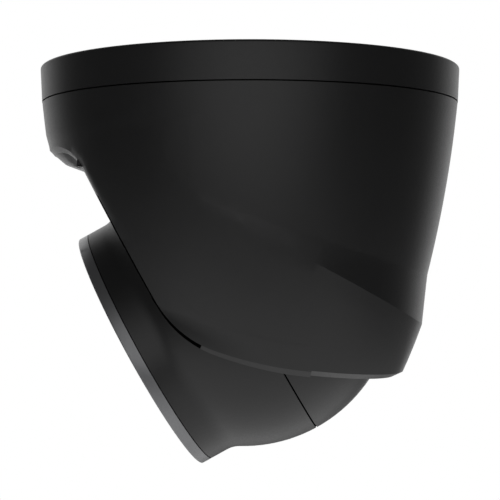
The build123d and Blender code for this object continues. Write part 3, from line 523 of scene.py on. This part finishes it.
def keep_off_ball(x, y, z, chosen):
    """Moves chosen points that lie inside the seat's radius out to it."""
    ball_x, _, ball_z = BALL_CENTRE
    from_ball = np.sqrt((x - ball_x) ** 2 + y ** 2 + (z - ball_z) ** 2)
    stretch = np.where(chosen, np.maximum(SEAT_R / from_ball, 1), 1)
    return ball_x + (x - ball_x) * stretch, y * stretch, ball_z + (z - ball_z) * stretch


def shell_skin(node):
    """A copy of the shell whose lower lip swells from the face to the tail, with its creases kept crisp."""
    mesh = node.data.copy()
    mesh.name = "shell_skin"
    shape = bmesh.new()
    shape.from_mesh(mesh)
    bmesh.ops.remove_doubles(shape, verts=shape.verts, dist=WELD_GAP)
    x, y, z = (np.array([vert.co[:] for vert in shape.verts]) / MM).T
    run, out_x, out_z, below = beside_edge(x, z)
    upright, leaning = wall_depths(x, y, z)
    depth = np.minimum(upright, leaning)
    lip = between(below, LIP_BAND)
    lift = np.where(lip, below * (np.interp(run, LIP_PLACES, LIP_HEIGHTS) - 1), 0)
    inward = np.where(lip & (depth < LIP_OUTER), depth * (np.interp(run, LIP_PLACES, LIP_DEPTHS) - 1), 0)
    radius = np.maximum(np.hypot(x, y), 1)
    x = x + lift * out_x - inward * x / radius
    y = y - inward * y / radius
    z = z + lift * out_z
    x, y, z = keep_off_ball(x, y, z, lip)
    for vert, place in zip(shape.verts, np.column_stack((x, y, z)) * MM):
        vert.co = place
    shape.normal_update()

    on_both = (np.abs(upright - leaning) < CREASE_REACH) & (np.abs(depth) < CREASE_REACH)
    on_crease = on_both & (x > CREASE_FROM_X)
    for line in shape.edges:
        bend = line.calc_face_angle(0) if len(line.link_faces) == 2 else 0
        creased = bend > CREASE_BEND and all(on_crease[vert.index] for vert in line.verts)
        line.smooth = bend < SMOOTH_ANGLE and not creased
    # painted shadow: lip faces along the face and into the heel take the near-black shadow_gap material
    dark = between(below, SHADOW_PAINT_BAND) & between(run, SHADOW_PAINT_RUN)
    for face in shape.faces:
        face.smooth = True
        face.material_index = 1 if all(dark[vert.index] for vert in face.verts) else 0
    shape.to_mesh(mesh)
    shape.free()
    if mesh.has_custom_normals:
        mesh.normals_split_custom_set([(0, 0, 0)] * len(mesh.loops))
    mesh.materials.append(SHADOW_GAP)
    skin = add_object("shell_skin", mesh)
    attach(skin, "turret")
    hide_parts("shell")


shell_skin(nodes["shell"])

# ------------------------------------------------------------------ heel of the lower edge
# The ball's seat thins the shell's wall away at the heel, so a smooth cover carries the wall on over the
# ball.
COVER_R = 51.25                     # radius round the ball where the wall is inside it
COVER_BLEND = 0.8                   # rounding where the cover leaves the wall
COVER_PROUD = 0.015
COVER_RUN = (58.0, 132.0)
COVER_HEIGHT = 9.0
COVER_ROWS = 30
COVER_SINK = 0.05                   # the cover's rims lie this deep in the wall
COVER_TOP_FADE = 1 / 6              # share of the height over which the upper rim sinks in
COVER_END_FADE = 3.0                # length over which each end sinks in
COVER_CREASE = math.radians(20)
LIP_ROWS = 4
LIP_SLOPE = 0.55


def heel_cover(name, side):
    """A strip over one side's heel: rows along the edge, from above it down to the bottom of the lip."""
    edge = lower_edge()
    edge = edge[(edge[:, 2] >= COVER_RUN[0]) & (edge[:, 2] <= COVER_RUN[1])]
    edge_x, edge_z, run, angle = edge.T
    lip_height = np.interp(run, LIP_PLACES, LIP_HEIGHTS) * LIP_FULL
    rows = [np.full(len(edge), -COVER_HEIGHT * (1 - row / COVER_ROWS)) for row in range(COVER_ROWS + 1)]
    rows += [lip_height * (row + 1) / LIP_ROWS for row in range(LIP_ROWS)]
    points, faces = [], []
    for drop in rows:
        x = edge_x + np.sin(angle) * drop
        z = edge_z - np.cos(angle) * drop
        wall = wall_half_width(x, z) + COVER_PROUD
        over = np.sqrt(np.maximum(COVER_R ** 2 - (x - BALL_CENTRE[0]) ** 2 - (z - BALL_CENTRE[2]) ** 2, 0))
        blend = np.maximum(COVER_BLEND - np.abs(wall - over), 0) / COVER_BLEND
        y = np.maximum(wall, over) + blend ** 2 * COVER_BLEND / 4 - LIP_SLOPE * np.maximum(drop, 0)
        from_top = np.clip(1 + np.minimum(drop, 0) / COVER_HEIGHT, 0, 1) / COVER_TOP_FADE
        from_ends = np.minimum(run - COVER_RUN[0], COVER_RUN[1] - run) / COVER_END_FADE
        y = y - COVER_SINK * (1 - np.clip(np.minimum(from_top, from_ends), 0, 1))
        points += [(px * MM, side * py * MM, pz * MM) for px, py, pz in zip(x, y, z)]
    count = len(edge)
    for row in range(len(rows) - 1):
        for step in range(count - 1):
            corner = row * count + step
            face = (corner, corner + 1, corner + count + 1, corner + count)
            faces.append(face if side < 0 else face[::-1])
    mesh = flat_mesh(name, points, faces, MATERIALS["black_alloy"], SHADOW_GAP)
    for index, face in enumerate(mesh.polygons):
        row, step = divmod(index, count - 1)
        face.use_smooth = True
        # painted shadow: lip rows short of the heel's end take the near-black shadow_gap material
        face.material_index = 1 if row >= COVER_ROWS and run[step] < SHADOW_PAINT_RUN[1] else 0
    cover = add_object(name, mesh)
    split_creases(cover, COVER_CREASE)
    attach(cover, "turret")


heel_cover("heel_cover_left", 1)
heel_cover("heel_cover_right", -1)

# ------------------------------------------------------------------ painted shadow at the bottoms of the three joints
UP = (0, 0, 1)
AIM = (-math.sin(math.radians(61)), 0, -math.cos(math.radians(61)))
JOINT_OUTER = 0.25                  # the ring's outer and inner rim, from the joint's mouth inwards
JOINT_INNER = 0.9
JOINT_TURNS = 256
# name, body, centre, axis, radius of the mouth, where the ring starts and ends along the axis, slot
JOINTS = (
    ("base_joint", "base", (0, 0, 0), UP, 68.3, (-11.68, -11.32), "black_alloy"),
    ("ball_joint", "head", BALL_CENTRE, AIM, 50.2, (-0.12, 0.36), "black_alloy"),
    ("bezel_joint", "head", BALL_CENTRE, AIM, 42.3, (35.16, 35.44), "black_plastic"),
)


def joint_shadow_ring(name, body, centre, axis, mouth, stations, slot_name):
    """A flat ring of painted shadow that closes a narrow joint just below its mouth."""
    outer, inner = mouth - JOINT_OUTER, mouth - JOINT_INNER
    start, end = stations
    corners = ((start, inner), (start, outer), (end, outer), (end, inner))
    turned = Vector(axis).to_track_quat("Z", "Y").to_matrix()
    points, faces = [], []
    for station, radius in corners:
        for turn in range(JOINT_TURNS):
            angle = 2 * math.pi * turn / JOINT_TURNS
            place = turned @ Vector((radius * math.cos(angle), radius * math.sin(angle), station))
            points.append((Vector(centre) + place) * MM)
    for band in range(len(corners)):
        here, after = band * JOINT_TURNS, (band + 1) % len(corners) * JOINT_TURNS
        for turn in range(JOINT_TURNS):
            beside = (turn + 1) % JOINT_TURNS
            faces.append((here + turn, here + beside, after + beside, after + turn))
    # painted shadow: the ring takes the near-black shadow_gap material where the joint's shade falls
    joint = add_object(name, flat_mesh(name, points, faces, SHADOW_GAP))
    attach(joint, body)


for joint_values in JOINTS:
    joint_shadow_ring(*joint_values)

# ------------------------------------------------------------------ stage and light
FLOOR_Z = -0.9
FLOOR_R = 3.0
WASH_HEIGHT = 0.3                   # of the light over the floor
WASH_SIZE = 2.4
WASH_WATTS = 15.0
# strength of each part of the studio, and where it fades in along its direction
BACKDROP_LIGHT, BACKDROP_FADE = 1.0, (0.45, 0.92)
TABLE_LIGHT, TABLE_FADE = 0.8, (-0.95, -0.35)
SCREEN_LIGHT, SCREEN_FADE = 1.15, (-1.0, -0.62)
SCREEN_TOP_SHARE, SCREEN_TOP_FADE = 0.55, (-0.3, 0.5)
SIDE_LIGHT = 0.09

wash = bpy.data.lights.new("table_wash", "AREA")
wash.shape = "RECTANGLE"
wash.size, wash.size_y = WASH_SIZE, WASH_SIZE
wash.energy = WASH_WATTS
add_object("table_wash", wash).location = (0, 0, FLOOR_Z + WASH_HEIGHT)



def matt_white(t):
    return {"Base Color": t.blend(t.noise(0.2), 0.78, 0.82)}


floor_paint = surface("floor_paint", matt_white, Roughness=0.8)
corners = [(x * FLOOR_R, y * FLOOR_R, FLOOR_Z) for x, y in ((-1, -1), (1, -1), (1, 1), (-1, 1))]
floor = add_object("floor", flat_mesh("floor", corners, [(0, 1, 2, 3)], floor_paint))

world = bpy.data.worlds.new("studio")
scene.world = world
t = Nodes(world)
direction = t.add("SeparateXYZ")
t.feed(direction.inputs[0], t.add("TexCoord").outputs["Generated"])
across, along, up = direction.outputs
# a white sweep behind and below, a soft white screen in front, and dark sides between them
backdrop = t.spread(along, 0, BACKDROP_LIGHT, *BACKDROP_FADE)
table = t.spread(up, TABLE_LIGHT, 0, *TABLE_FADE)
screen_side = t.spread(along, SCREEN_LIGHT, 0, *SCREEN_FADE)
screen = t.math("MULTIPLY", screen_side, t.spread(up, 1, SCREEN_TOP_SHARE, *SCREEN_TOP_FADE))
studio = t.math("MAXIMUM", t.math("MAXIMUM", backdrop, table), t.math("MAXIMUM", screen, SIDE_LIGHT))
seen = t.add("LightPath").outputs["Is Camera Ray"]
background = t.add("Background")
t.feed(background.inputs["Color"], t.blend(seen, studio, 1.0))
t.tree.links.new(background.outputs[0], t.add("OutputWorld").inputs["Surface"])
